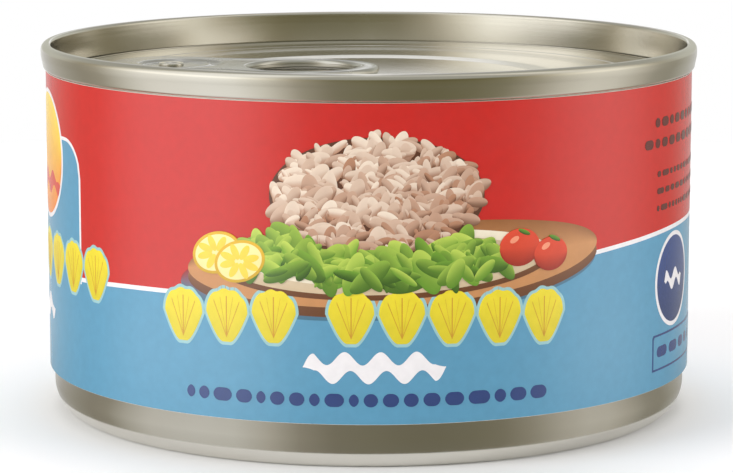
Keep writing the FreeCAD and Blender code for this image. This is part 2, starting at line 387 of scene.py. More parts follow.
# %% The rivet
rivet_foot_z = foot_z[1]
rivet_profile = rounded_profile(
    [
        [0, rivet_foot_z, 0],
        [1.6, rivet_foot_z, 0],
        [1.6, rivet_foot_z + 0.06, 0],
        [0.95, rivet_foot_z + 0.06, 0],
        [0.95, rivet_top - 0.34, 0],
        [1.55, rivet_top - 0.34, 0.05],
        [1.55, rivet_top, 0.15],
        [0.9, rivet_top, 0.2],
        [0.7, rivet_top - 0.1, 0.2],
        [0, rivet_top - 0.1, 0],
    ]
)
rivet = turned_piece("rivet_button", rivet_profile, 96, centre=rivet_place, slot="tab_metal")
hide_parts("tab_rivet")

# %% [markdown]
# ## The sleeve and its fields of colour
# The label is a paper sleeve printed in three fields: red above, a white line that climbs as it
# goes round, and blue below. To keep the edges crisp at any distance the fields are rows of faces,
# and the rows follow the line. The colour is stored on the mesh, so one print material serves
# every field. At the back the sleeve's end laps over its start, which shows as a slight step.

# %% Colours of the print
def ink(red, green, blue):
    """A colour in screen values from 0 to 255, as the linear values that a shader works in."""
    share = np.array([red, green, blue]) / 255
    return np.where(share <= 0.04045, share / 12.92, ((share + 0.055) / 1.055) ** 2.4)


RED = ink(198, 2, 5)
BLUE = ink(84, 150, 184)
WHITE = ink(238, 234, 236)
NAVY = ink(36, 62, 122)
YELLOW = ink(232, 212, 30)
AMBER = ink(205, 150, 30)
PALE = ink(150, 196, 200)
PAPER_EDGE = ink(228, 222, 214)


def colour_mesh(piece, colours, domain):
    """Writes linear colours, one per point or corner, to the attribute that the print reads."""
    layer = piece.data.attributes.new("ink", "FLOAT_COLOR", domain)
    rgba = np.concatenate([colours, np.ones((len(colours), 1))], 1).astype(np.float32)
    layer.data.foreach_set("color", rgba.ravel())


# %% The sleeve
line_bearing = [-180, -150, -59, -47, -29, 0, 29, 40, 55, 65, 110, 150, 180]
line_height = [19.2, 17.9, 17.9, 18.6, 18.9, 20.1, 22.0, 22.8, 23.4, 23.7, 23.9, 21.5, 19.2]
line_width = 0.5
lap_width, lap_step, edge_inset = 8.0, 0.12, 0.04
sleeve_columns = 720


def line_at(bearing):
    """Height of the white line's lower edge at a bearing from the front, in degrees: the listed
    heights, blended by a running mean so that the line has no corner."""
    spread = np.linspace(-9, 9, 25)
    around = (np.asarray(bearing)[..., None] + spread + 180) % 360 - 180
    return np.interp(around, line_bearing, line_height).mean(-1)


def on_label(bearing, height, lift):
    """The sleeve's point at a bearing from the front in degrees, at a height, lifted off it."""
    turn = np.radians(bearing)
    radius = label_radius + lift
    return np.stack(np.broadcast_arrays(radius * np.sin(turn), -radius * np.cos(turn), height), -1)


bearing = np.linspace(-180, 180, sleeve_columns, endpoint=False)
line = line_at(bearing)
share = np.linspace(0, 1, 5)[:, None]
blue_rows = label_low + edge_inset + share * (line - label_low - edge_inset)
red_rows = line + line_width + share * (label_high - edge_inset - line - line_width)
edge = np.ones((2, sleeve_columns))
sleeve_z = np.vstack([edge * label_low, blue_rows, red_rows, edge * label_high])
from_lap = np.abs((bearing % 360) - 180) * math.radians(label_radius)
lap = smooth_step(lap_width / 2 - from_lap, 0, 0.25)
lift = np.zeros(sleeve_z.shape)
lift[[0, -1]] = 0.01 - label_stand
lift[[1, -2]] = -edge_inset
lift[1:-1] += lap_step * lap
sleeve_points = on_label(bearing, sleeve_z, lift).reshape(-1, 3)
sleeve_faces = grid_faces(len(sleeve_z), sleeve_columns, close_rows=True)
sleeve = make_piece("printed_sleeve", sleeve_points, [sleeve_faces], slot="label_print")
row_colour = np.array([PAPER_EDGE] * 2 + [BLUE] * 4 + [WHITE] + [RED] * 4 + [PAPER_EDGE] * 3)
colour_mesh(sleeve, np.repeat(row_colour, sleeve_columns * 4, 0), "CORNER")
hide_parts("label_wrap")

# %% [markdown]
# ## Printed shapes
# Each printed motif is a very thin layer of ink, less than a fifth of a millimetre proud of the
# sleeve, so its edge stays as sharp as cut film. Any simple shape is the space between a lower and
# an upper curve. The sleeve is straight upwards, so only the way round needs fine columns.

# %% Helper: thin layers of ink
inside_depth = 0.05


def print_shapes(name, across, low, high, colours, lift):
    """Thin closed layers on the sleeve, many shapes at once.

    across, low and high are (shape, column) arrays in millimetres round the sleeve and up it.
    colours spreads to (shape, column, row, 3), over rows that divide low to high evenly, and lift
    is one height off the sleeve, or one for each shape. A column of the shape is a loop: up its
    rows on the outside, then back inside the sleeve. Both ends are capped.
    """
    across, low, high = (np.atleast_2d(part) for part in (across, low, high))
    shapes, columns = across.shape
    rows = colours.shape[2]
    share = np.linspace(0, 1, rows)
    height = low[..., None] + share * (high - low)[..., None]
    height = np.concatenate([height, high[..., None], low[..., None]], 2)
    level = np.broadcast_to(np.reshape(lift, (-1, 1, 1)), height.shape).copy()
    level[..., -2:] = -inside_depth
    points = on_label(np.degrees(across / label_radius)[..., None], height, level)
    loop = rows + 2
    single = grid_faces(columns, loop)
    caps = np.stack([np.arange(loop), (columns - 1) * loop + np.arange(loop)[::-1]])
    first = (np.arange(shapes) * columns * loop)[:, None, None]
    faces = [(single + first).reshape(-1, 4), (caps + first).reshape(-1, loop)]
    piece = make_piece(name, points.reshape(-1, 3), faces, slot="label_print", smooth=False)
    outside = np.broadcast_to(colours, (shapes, columns, rows, 3))
    inside = np.repeat(outside[:, :, -1:], 2, 2)
    colour_mesh(piece, np.concatenate([outside, inside], 2).reshape(-1, 3), "POINT")


def round_columns(count):
    """Columns from -1 to 1, close together near both ends, where a round shape turns."""
    return -np.cos(np.linspace(0, math.pi, count)) * 0.999


def ovals(centre, half_long, half_short, tilt, columns=16):
    """Lower and upper curves of tilted ellipses.

    With long and short half axes a and b and tilt t, the half width W is the root of
    (a cos t)^2 + (b sin t)^2. At x the ellipse lies between
    (x sin t cos t (a^2 - b^2) -+ a b root(W^2 - x^2)) / W^2.
    """
    centre = np.atleast_2d(centre)
    axes = (half_long, half_short, tilt)
    a, b, t = (np.broadcast_to(part, (len(centre),))[:, None] for part in axes)
    width = np.hypot(a * np.cos(t), b * np.sin(t))
    x = width * round_columns(columns)
    middle = x * np.sin(t) * np.cos(t) * (a**2 - b**2) / width**2
    half = a * b * np.sqrt(np.maximum(width**2 - x**2, 0)) / width**2
    return centre[:, :1] + x, centre[:, 1:] + middle - half, centre[:, 1:] + middle + half


def shaded(bottom, top, rows, middle=None):
    """Colours from the lower edge to the upper one, through a middle colour if there is one."""
    middle = (bottom + top) / 2 if middle is None else middle
    share = np.linspace(0, 1, rows)[:, None]
    lower = bottom + (middle - bottom) * np.clip(share * 2, 0, 1)
    return lower + (top - middle) * np.clip(share * 2 - 1, 0, 1)


def plain(colour):
    """One colour for two rows, which spreads over all shapes and columns."""
    return np.broadcast_to(colour, (1, 1, 2, 3))


arc_per_degree = math.radians(label_radius)

# %% [markdown]
# ## The title's place
# Where a real can has its name, this one has small scallop shells in yellow, three and then five,
# over a pale rim that lifts them off the blue. A shell is a fan: wide above and drawn in below to
# its hinge, with a scalloped upper edge. Slim amber ribs run up from the hinge.

# %% A row of shells
shell_columns, rib_count, rib_columns = 33, 5, 9
group_gap = 0.55  # between the two groups, as a share of a shell's pitch


def shell_curves(centre, half_width, half_height):
    """Lower and upper curves of fans. The lower edge rises from a hinge, a fifth of the width
    either side, as the rest of |x| to the power 1.5, and the upper edge is a half ellipse with
    seven small scallops."""
    x = round_columns(shell_columns)
    round_top = np.sqrt(np.maximum(1 - x**2, 0)) ** 0.8
    scallops = 0.08 * np.abs(np.sin(3.5 * math.pi * (x + 1) / 2)) * round_top
    upper = 0.05 + 0.88 * round_top + scallops
    lower = -1 + 1.1 * (np.maximum(np.abs(x) - 0.2, 0) / 0.8) ** 1.5
    across = centre[:, :1] + x * half_width
    return across, centre[:, 1:] + lower * half_height, centre[:, 1:] + upper * half_height


def print_ribs(name, hinge, tip, half):
    """Straight bands from each hinge to its tips, with half above their line and half below. A rib
    that stands almost upright is a slim box instead, since columns can't follow it."""
    share = np.linspace(0, 1, rib_columns)[:, None]
    run = (hinge[..., None, :] + share * (tip - hinge)[..., None, :]).reshape(-1, rib_columns, 2)
    half = np.broadcast_to(half, (*tip.shape[:2], 1)).reshape(-1, 1)
    across, middle = run[..., 0], run[..., 1]
    leftward = across[:, -1:] < across[:, :1]
    upright = np.abs(across[:, -1:] - across[:, :1]) < 0.12
    box = across[:, :1] + np.linspace(-0.06, 0.06, rib_columns)
    low = np.where(upright, middle[:, :1], middle - half)
    high = np.where(upright, middle[:, -1:], middle + half)
    curves = (np.where(upright, box, across), low, high)
    turned = [np.where(leftward & ~upright, curve[:, ::-1], curve) for curve in curves]
    print_shapes(name, *turned, plain(AMBER), 0.045)


def shell_row(name, start, end, low, high, counts, sag):
    """Two groups of shells from one bearing to another, on a line that sags towards its ends."""
    slots = np.concatenate([np.arange(counts[0]), counts[0] + group_gap + np.arange(counts[1])])
    pitch = (end - start) * arc_per_degree / (sum(counts) + group_gap)
    across = start * arc_per_degree + pitch * (slots + 0.5)
    middle = (start + end) / 2 * arc_per_degree
    dip = sag * ((across - middle) / ((end - start) * arc_per_degree / 2)) ** 2
    centre = np.stack([across, (low + high) / 2 - dip], 1)
    half_width, half_height = pitch * 0.455, (high - low) / 2
    rim = shell_curves(centre, half_width + 0.32, half_height + 0.36)
    print_shapes(name + "_rims", *rim, plain(PALE), 0.02)
    face = shell_curves(centre, half_width, half_height)
    print_shapes(name, *face, shaded(YELLOW * 0.86, YELLOW * 1.04, 3)[None, None], 0.035)
    spread = np.linspace(-0.62, 0.62, rib_count)
    fan = np.stack([spread * half_width, half_height * (0.72 - 0.5 * spread**2)], 1)
    hinge, tip = centre[:, None] - [0, half_height * 0.8], centre[:, None] + fan
    lean = np.abs(tip - hinge)[..., :1] / half_height
    print_ribs(name + "_ribs", hinge, tip, 0.07 + 0.07 * lean)


# %% Rows on the front and on the left side
shell_row("title_shells", -36.3, 34.2, 14.4, 20.4, (3, 5), 0.9)
shell_row("side_shells", -120.0, -49.5, 16.6, 22.6, (3, 5), 0.2)

# %% [markdown]
# ## Waves and rules
# Under the shells, a white wave stands for the brine, and navy dashes take the place of the fine
# print. A wave is a band between two curves that rise and fall together.

# %% Waves and dashes
wave_columns, dash_columns = 160, 12


def wave(name, start, end, height, swing, thickness, crests, colour):
    """A band about a sine curve. Its ends taper over twelve columns."""
    step = np.arange(wave_columns)
    across = np.linspace(start, end, wave_columns) * arc_per_degree
    phase = np.linspace(0, 2 * math.pi * crests, wave_columns)
    taper = np.clip(np.minimum(step, step[::-1]) / 12, 0.04, 1)
    middle = height + swing * np.sin(phase)
    half = thickness / 2 * taper * (1 + 0.35 * np.cos(phase))
    print_shapes(name, across, middle - half, middle + half, plain(colour), 0.03)


def dashes(name, start, end, rows, tall, colour, seed, least=1.0, most=3.4, gap=0.7):
    """Rows of rounded dashes of mixed lengths between two bearings."""
    lengths = np.random.default_rng(seed).uniform(least, most, (len(rows), 60))
    ends = start * arc_per_degree + np.cumsum(lengths + gap, 1)
    fits = ends < end * arc_per_degree
    row_height = np.broadcast_to(np.array(rows)[:, None], lengths.shape)[fits]
    half = lengths[fits] / 2
    centre = ends[fits] - half - gap
    x = centre[:, None] + half[:, None] * round_columns(dash_columns)
    corner = np.clip((half[:, None] - np.abs(x - centre[:, None])) / (tall / 2), 0.02, 1)
    rise = tall / 2 * np.sqrt(1 - (1 - corner) ** 2)
    middle = row_height[:, None]
    print_shapes(name, x, middle - rise, middle + rise, plain(colour), 0.03)


wave("brine_wave", -10.8, 12.6, 11.7, 0.65, 2.1, 4, WHITE)
dashes("front_dashes", -31.5, 32.5, [8.05], 1.5, NAVY, 3, 0.9, 2.6, 0.55)

# %% [markdown]
# ## The serving
# The picture on such a label is a serving of the fish. Here it is a plain one: a round board, a
# cream plate, a heap of flakes, leaves, lemon and small tomatoes. Each thing is a set of ovals
# with its shading in the ink: lighter above and darker below, as under a lamp overhead.

# %% Board and plate
WOOD_LIGHT, WOOD_DARK, WOOD_EDGE = ink(196, 136, 84), ink(150, 92, 48), ink(104, 58, 30)
PLATE_LIGHT, PLATE_DARK = ink(240, 228, 204), ink(206, 182, 148)


def oval_print(name, centre, half_long, half_short, tilt, colours, lift, columns=16):
    """One oval per centre, with shared axes or its own. colours is (row, 3) or (shape, row, 3)."""
    by_shape = colours if colours.ndim == 3 else colours[None]
    curves = ovals(centre, half_long, half_short, tilt, columns)
    print_shapes(name, *curves, by_shape[:, None], lift)


board_centre = np.array([3.4, 23.2])
plate_centre = board_centre + [-1.4, 0.4]
shadow_shade = shaded(BLUE * 0.55, RED * 0.55, 4)
edge_shade = shaded(WOOD_EDGE, WOOD_DARK, 4)
board_shade = shaded(WOOD_LIGHT, WOOD_DARK, 5, WOOD_LIGHT * 1.06)
rim_shade, well_shade = shaded(PLATE_DARK, PLATE_LIGHT, 5), shaded(PLATE_LIGHT, PLATE_DARK, 5)
oval_print("board_shadow", board_centre - [0.6, 1.5], 25.0, 4.6, 0.05, shadow_shade, 0.008, 90)
oval_print("board_edge", board_centre - [0, 1.0], 24.6, 4.7, 0.05, edge_shade, 0.012, 90)
oval_print("board_top", board_centre, 24.6, 4.6, 0.05, board_shade, 0.02, 90)
oval_print("plate_shadow", plate_centre - [0, 0.6], 19.4, 3.7, 0.03, edge_shade, 0.026, 80)
oval_print("plate_rim", plate_centre - [0, 0.1], 19.0, 3.6, 0.03, rim_shade, 0.032, 80)
oval_print("plate_well", plate_centre, 15.6, 2.7, 0.03, well_shade, 0.038, 80)

# %% [markdown]
# Leaves are clusters of small frilled ovals. The frill comes from many short ovals with their own
# tilt, pale at the rim and deep green in the folds.

# %% Leaves
LEAF_LIGHT, LEAF_MID, LEAF_DEEP = ink(196, 216, 88), ink(104, 156, 38), ink(36, 76, 18)


def scatter_in_oval(count, centre, half_width, half_height, seed):
    """Evenly spread places in an oval: the radius grows with the root of the index, and each turn
    is the golden angle after the last, with a little seeded unevenness."""
    generator = np.random.default_rng(seed)
    index = np.arange(count) + 0.5
    radius = np.sqrt(index / count)
    turn = index * math.pi * (3 - math.sqrt(5)) + generator.uniform(-0.25, 0.25, count)
    unit = radius[:, None] * np.stack([np.cos(turn), np.sin(turn)], 1)
    return np.array(centre) + [half_width, half_height] * unit


def front_last(places):
    """The places from the top down, so that a lower shape is printed over a higher one."""
    return places[np.argsort(-places[:, 1])]


def leaves(name, count, centre, half_width, half_height, seed, lift):
    """Leaves of mixed size, tilt and green, each a little higher off the sleeve than the last."""
    generator = np.random.default_rng(seed)
    places = front_last(scatter_in_oval(count, centre, half_width, half_height, seed))
    long_half = generator.uniform(1.2, 2.9, count)
    short_half = long_half * generator.uniform(0.22, 0.5, count)
    tilt = generator.uniform(-1.4, 1.4, count)
    tone = generator.uniform(0.0, 1.0, count)[:, None, None]
    bottom = LEAF_DEEP + (LEAF_MID - LEAF_DEEP) * tone
    top = LEAF_MID + (LEAF_LIGHT - LEAF_MID) * tone
    colours = bottom + np.linspace(0, 1, 4)[:, None] ** 1.5 * (top - bottom)
    height = lift + 0.018 * np.linspace(0, 1, count)
    oval_print(name, places, long_half, short_half, tilt, colours, height, 20)


leaves("leaf_bed", 110, (0.6, 23.9), 12.4, 2.5, 11, 0.044)

# %% [markdown]
# The heap is a dark ground for the gaps, and some hundreds of flakes over it. They are laid from
# the top of the heap down, so that each overlaps the one above, and their tone falls from pale at
# the top left to a warmer, darker one at the lower right.

# %% The heap of flakes
FLAKE_LIGHT, FLAKE_MID, FLAKE_DEEP = ink(240, 222, 202), ink(184, 132, 102), ink(88, 46, 28)
heap_centre, heap_half = np.array([0.9, 30.7]), np.array([12.0, 6.6])
heap_shade = shaded(ink(92, 50, 36), FLAKE_DEEP, 6)
oval_print("heap_ground", heap_centre, *heap_half, 0.0, heap_shade, 0.062, 60)


def flakes(name, count, seed):
    """Flakes of mixed size and tilt, lighter towards the heap's upper left."""
    generator = np.random.default_rng(seed)
    places = front_last(scatter_in_oval(count, heap_centre, *(heap_half - [0.5, 0.4]), seed))
    offset = (places - heap_centre) / heap_half
    long_half = generator.uniform(0.6, 1.7, count)
    short_half = long_half * generator.uniform(0.3, 0.62, count)
    tilt = generator.uniform(-1.5, 1.5, count)
    light = 0.5 + offset @ [-0.24, 0.32] + generator.normal(0, 0.3, count)
    light = np.clip(light, 0, 1)[:, None, None]
    top = FLAKE_MID + (FLAKE_LIGHT - FLAKE_MID) * light
    bottom = FLAKE_DEEP + (FLAKE_MID - FLAKE_DEEP) * light
    colours = bottom + np.array([0.0, 0.3, 0.85, 1.0])[:, None] * (top - bottom)
    height = 0.07 + 0.058 * np.linspace(0, 1, count)
    oval_print(name, places, long_half, short_half, tilt, colours, height, 16)


flakes("heap_flakes", 430, 21)

# %% Leaves in front of the heap
leaves("leaf_front_left", 46, (-9.4, 23.9), 4.2, 1.9, 31, 0.13)
leaves("leaf_front_right", 46, (10.6, 23.6), 4.4, 1.7, 37, 0.13)
leaves("leaf_front_middle", 40, (0.8, 22.9), 6.4, 1.3, 41, 0.13)

# %% [markdown]
# A slice of lemon is three layers: skin, pith, and eight wedges that stand round its middle like
# spokes. A tomato is one shaded oval with a gleam and a stalk.

# %% Lemon and tomatoes
SKIN, PITH, FLESH = ink(226, 178, 20), ink(250, 236, 160), ink(240, 206, 60)
lemons = np.array([[-17.4, 24.0], [-14.6, 23.2]])
oval_print("lemon_skin", lemons, 3.1, 2.3, 0.35, shaded(SKIN * 0.8, SKIN, 4), [0.15, 0.17], 40)
oval_print("lemon_pith", lemons, 2.75, 1.98, 0.35, shaded(PITH * 0.9, PITH, 4), [0.155, 0.175], 40)
spoke = np.radians(np.arange(0, 360, 45) + 20)
wedges = (lemons[:, None] + np.stack([1.5 * np.cos(spoke), 1.1 * np.sin(spoke)], 1)).reshape(-1, 2)
wedge_tilt = np.tile(np.arctan2(np.sin(spoke) * 0.75, np.cos(spoke)) % math.pi, 2)
wedge_lift = np.repeat([0.16, 0.18], 8)
flesh_shade = shaded(FLESH, FLESH * 1.08, 3)
oval_print("lemon_flesh", wedges, 0.95, 0.42, wedge_tilt, flesh_shade, wedge_lift, 14)

TOMATO_DEEP, TOMATO_RED, TOMATO_LIGHT = ink(150, 26, 14), ink(214, 62, 34), ink(244, 150, 116)
tomatoes = np.array([[17.2, 24.6], [21.2, 23.6]])
tomato_shade = shaded(TOMATO_DEEP, TOMATO_RED * 1.1, 7, TOMATO_RED)
oval_print("tomatoes", tomatoes, [2.5, 2.2], [2.1, 1.9], 0.1, tomato_shade, [0.15, 0.16], 40)
gleam_shade, stalk_shade = shaded(TOMATO_LIGHT, TOMATO_LIGHT, 3), shaded(LEAF_DEEP, LEAF_MID, 3)
oval_print("tomato_gleams", tomatoes + [-0.7, 0.9], 0.6, 0.32, 0.5, gleam_shade, 0.168)
oval_print("tomato_stalks", tomatoes + [0.5, 1.7], 0.8, 0.26, -0.4, stalk_shade, 0.17)

# %% [markdown]
# ## The sides of the label
# To the left is a blue panel with a yellow sun over a wave, and to the right are a navy badge,
# rows of dark dashes and a ruled box. They stand where a real label has its emblems and its lists,
# and they say nothing.

# %% Helper: panels
panel_columns = 80


def rounded_panel(name, start, end, low, high, corner, colour, lift):
    """A box with rounded upper corners: its upper edge drops by corner x (1 - root(1 - d^2)) near
    both ends. Its lower edge is level, or follows a function of the bearing."""
    across = np.linspace(start, end, panel_columns) * arc_per_degree
    inside = np.minimum(across - across[0], across[-1] - across)
    missing = np.clip(1 - inside / corner, 0, 1)
    upper = high - corner * (1 - np.sqrt(1 - missing**2 * 0.9999))
    lower = low(across / arc_per_degree) if callable(low) else np.full(panel_columns, low)
    print_shapes(name, across, lower, upper, plain(colour), lift)


def under_line(bearing):
    """A little below the white line, so that a panel's foot is in the blue."""
    return line_at(bearing) - 0.3


def ringed_disc(names, centre, radius, border, bottom, top, rows, columns):
    """A shaded disc over a wider white one."""
    white = shaded(WHITE, WHITE, 3)
    oval_print(names[0], centre, radius + border, radius + border, 0, white, 0.02, columns)
    oval_print(names[1], centre, radius, radius, 0, shaded(bottom, top, rows), 0.026, columns)


# %% The left side
rounded_panel("side_panel_border", -102.6, -58.6, under_line, 34.4, 4.4, WHITE, 0.008)
rounded_panel("side_panel", -102.0, -59.2, under_line, 34.0, 4.0, BLUE, 0.014)
sun_centre, sun_low, sun_high = [-77.6 * arc_per_degree, 31.6], ink(236, 130, 30), ink(248, 214, 60)
ringed_disc(("sun_border", "sun_disc"), sun_centre, 7.2, 0.5, sun_low, sun_high, 8, 80)
wave("sun_wave", -87.3, -68.0, 28.4, 0.5, 1.7, 3, ink(214, 60, 40))
wave("side_wave", -98, -73, 13.2, 0.6, 1.8, 4, WHITE)

# %% The right side and the back
badge_centre = [66.5 * arc_per_degree, 17.7]
badge_names = ("badge_border", "badge_disc")
ringed_disc(badge_names, badge_centre, 5.1, 0.5, NAVY * 0.8, NAVY * 1.2, 6, 70)
wave("badge_wave", 62, 71, 17.7, 0.55, 1.3, 2, WHITE)
rounded_panel("box_border", 57.6, 84, 7.4, 11.7, 0.3, NAVY, 0.02)
rounded_panel("box_ground", 58.0, 83.6, 7.65, 11.45, 0.3, BLUE, 0.028)
dashes("box_dashes", 59.2, 82.5, [9.6], 1.3, NAVY, 5)
DARK_RED = ink(96, 16, 20)
dashes("list_heading", 57.5, 90, [36.6], 1.1, DARK_RED, 8, 0.9, 1.9, 0.5)
dashes("list_upper", 54.0, 108, [34.2], 1.1, DARK_RED, 9, 0.9, 2.1, 0.5)
dashes("list_lower", 58.5, 108, [30.6, 28.6, 26.6], 0.7, DARK_RED, 12, 0.6, 2.0, 0.4)
dashes("list_back", 118, 165, [34.0, 32.0, 30.0, 28.0], 0.7, DARK_RED, 14, 0.8, 2.6, 0.5)
rounded_panel("table_border", 118, 165, 8.0, 19.0, 0.5, WHITE, 0.02)
rounded_panel("table_ground", 118.5, 164.5, 8.3, 18.7, 0.4, ink(206, 222, 230), 0.028)
dashes("table_rows", 120, 163, [16.9, 14.7, 12.5, 10.3], 0.9, NAVY, 15, 1.2, 4.0, 0.9)

# %% [markdown]
# ## Tinplate, turned and lacquered
# The end and the body are tinplate under a thin clear lacquer, so the metal is pale and a little
# warm. Press tools leave very fine lines that run round the axis. A noise that reads only the
# distance from the axis and the height is the same all the way round, and so draws such lines. It
# goes to the roughness and, very weakly, to the bump. A second, broad noise makes the lacquer a
# little uneven.

# %% Helpers for node materials
def new_material(name, **values):
    """A node material whose shader has these socket values, with its tree and its shader."""
    material = bpy.data.materials.new(name)
    material.use_nodes = True
    tree = material.node_tree
    shader = tree.nodes["Principled BSDF"]
    for key, value in values.items():
        shader.inputs[key.replace("_", " ")].default_value = value
    return material, tree, shader


def add_node(tree, kind, settings=None, **inputs):
    """A node of a kind, with settings such as its operation, and socket values or links by name.
    An underscore and a number stand for the socket at that place."""
    node = tree.nodes.new(kind)
    for name, value in (settings or {}).items():
        setattr(node, name, value)
    for name, value in inputs.items():
        key = int(name[1:]) if name[0] == "_" else name.replace("_", " ")
        socket = node.inputs[key]
        if isinstance(value, bpy.types.NodeSocket):
            tree.links.new(value, socket)
        else:
            socket.default_value = value
    return node


def remap(tree, value, to_low, to_high):
    """A noise value from 0.3 to 0.7, which is where most of it lies, spread over another range."""
    limits = {"From_Min": 0.3, "From_Max": 0.7, "To_Min": to_low, "To_Max": to_high}
    return add_node(tree, "ShaderNodeMapRange", Value=value, **limits).outputs["Result"]


def noise(tree, place, scale, detail, roughness=0.5):
    """The value of a noise with so many waves in a metre."""
    node = add_node(tree, "ShaderNodeTexNoise", Vector=place, Scale=scale, Detail=detail)
    node.inputs["Roughness"].default_value = roughness
    return node.outputs["Fac"]


def join_tint(tree, shader, factor, colour, other):
    """A base colour that moves between two tints."""
    tint = add_node(tree, "ShaderNodeMix", {"data_type": "RGBA"}, Factor=factor)
    tint.inputs["A"].default_value = (*colour, 1)
    tint.inputs["B"].default_value = (*other, 1)
    tree.links.new(tint.outputs["Result"], shader.inputs["Base Color"])


def join_relief(tree, shader, height, strength, distance):
    """A bump on the shader, of a height in metres."""
    relief = add_node(tree, "ShaderNodeBump", Height=height, Strength=strength, Distance=distance)
    tree.links.new(relief.outputs["Normal"], shader.inputs["Normal"])


# %% Turned metal
def turned_metal(name, colour, warm, roughness, spread, line_size, bump):
    """A metal with lines that run round the axis: a noise of the point (distance from the axis, 0,
    height). Roughness varies by spread either side of its middle value."""
    material, tree, shader = new_material(name, Metallic=1.0)
    place = add_node(tree, "ShaderNodeTexCoord").outputs["Object"]
    split = add_node(tree, "ShaderNodeSeparateXYZ", Vector=place).outputs
    flat = add_node(tree, "ShaderNodeCombineXYZ", X=split["X"], Y=split["Y"]).outputs["Vector"]
    radius = add_node(tree, "ShaderNodeVectorMath", {"operation": "LENGTH"}, _0=flat)
    rings = add_node(tree, "ShaderNodeCombineXYZ", X=radius.outputs["Value"], Z=split["Z"])
    lines = noise(tree, rings.outputs["Vector"], 1 / line_size, 4.0, 0.6)
    cloud = noise(tree, place, 70.0, 3.0)
    rough_lines = remap(tree, lines, roughness - spread, roughness + spread)
    rough_cloud = remap(tree, cloud, -0.02, 0.02)
    rough = add_node(tree, "ShaderNodeMath", {"operation": "ADD"}, _0=rough_lines, _1=rough_cloud)
    tree.links.new(rough.outputs[0], shader.inputs["Roughness"])
    join_tint(tree, shader, cloud, colour, warm)
    join_relief(tree, shader, lines, bump, 0.00002)
    print(name, "lines every", round(line_size / MM, 3), "mm")
    return material


tin, warm_tin = ink(230, 228, 223), ink(224, 220, 210)
tinplate = turned_metal("lacquered_tinplate", tin, warm_tin, 0.16, 0.025, 0.0003, 0.08)
for piece in (body, lid, rivet):
    piece.data.materials.append(tinplate)

# %% [markdown]
# ## The tab's metal
# The tab is bare aluminium, tumbled and waxed, so it is paler and duller than the end, with no
# lines. A fine grain and a few soft scuffs are enough.

# %% Tumbled aluminium
tumbled, tree, shader = new_material("tumbled_aluminium", Metallic=1.0)
place = add_node(tree, "ShaderNodeTexCoord").outputs["Object"]
grain = noise(tree, place, 2600.0, 2.0)
scuff = noise(tree, place, 260.0, 5.0, 0.65)
join_tint(tree, shader, scuff, ink(208, 207, 202), ink(220, 219, 215))
tree.links.new(remap(tree, scuff, 0.2, 0.29), shader.inputs["Roughness"])
join_relief(tree, shader, grain, 0.3, 0.00001)
tab.data.materials.append(tumbled)
print("the tab has", tumbled.name)

# %% [markdown]
# ## Printed paper under varnish
# One material serves the sleeve and all its ink. It reads the stored colour, varies it slightly as
# offset print does, and gives a satin varnish whose gloss is a little uneven over the paper's
# fibres.

# %% Varnished print
print_film, tree, shader = new_material("varnished_print", IOR=1.75, Specular_IOR_Level=0.8)
place = add_node(tree, "ShaderNodeTexCoord").outputs["Object"]
stored = add_node(tree, "ShaderNodeAttribute", {"attribute_name": "ink"}).outputs["Color"]
mottle = noise(tree, place, 900.0, 3.0)
fibre = noise(tree, place, 320.0, 5.0, 0.6)
tone = add_node(tree, "ShaderNodeVectorMath", {"operation": "SCALE"}, _0=stored)
tree.links.new(remap(tree, mottle, 0.965, 1.035), tone.inputs["Scale"])
tree.links.new(tone.outputs["Vector"], shader.inputs["Base Color"])
tree.links.new(remap(tree, fibre, 0.19, 0.24), shader.inputs["Roughness"])
join_relief(tree, shader, fibre, 0.12, 0.00002)
printed = [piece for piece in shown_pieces() if "ink" in getattr(piece.data, "attributes", {})]
for piece in printed:
    piece.data.materials.append(print_film)
print(len(printed), "printed pieces")

# %% [markdown]
# ## Floor and studio
# The can stands on a plain white floor, a disc that keeps its shadow.

# %% The floor
def stage_mesh(name, points, faces):
    """A part of the studio: a piece that isn't attached to the frame's body."""
    piece = make_piece(name, points, faces)
    return piece


floor_columns, floor_z = 96, -0.02
turn = np.linspace(0, 2 * math.pi, floor_columns, endpoint=False)
radii = np.array([0.001, 60, 120, 250])[:, None]
floor_points = np.stack(np.broadcast_arrays(radii * np.cos(turn), radii * np.sin(turn), floor_z), 2)
floor_faces = grid_faces(len(radii), floor_columns)[:, ::-1]
floor = stage_mesh("floor", floor_points.reshape(-1, 3), [floor_faces])
white = {"Base_Color": (0.93, 0.93, 0.93, 1), "Roughness": 0.9, "Specular_IOR_Level": 0.0}
floor_paint = new_material("white_floor", **white)[0]
floor.data.materials.append(floor_paint)

# %% [markdown]
# ## The wall of cards
# Metal has no look of its own: it shows the room. So the room is a curved wall of cards, seen only
# in reflections, as a photographer would set it: a soft box at the left, a weaker one at the
# right, a dark card in front and grey behind. A round wall sends a look out at twice the bearing
# of the spot that is looked at, so each column of cards starts at the can's side and runs out at
# double that bearing. The cards lie on the floor near the can, stand up a metre away, and close
# overhead.

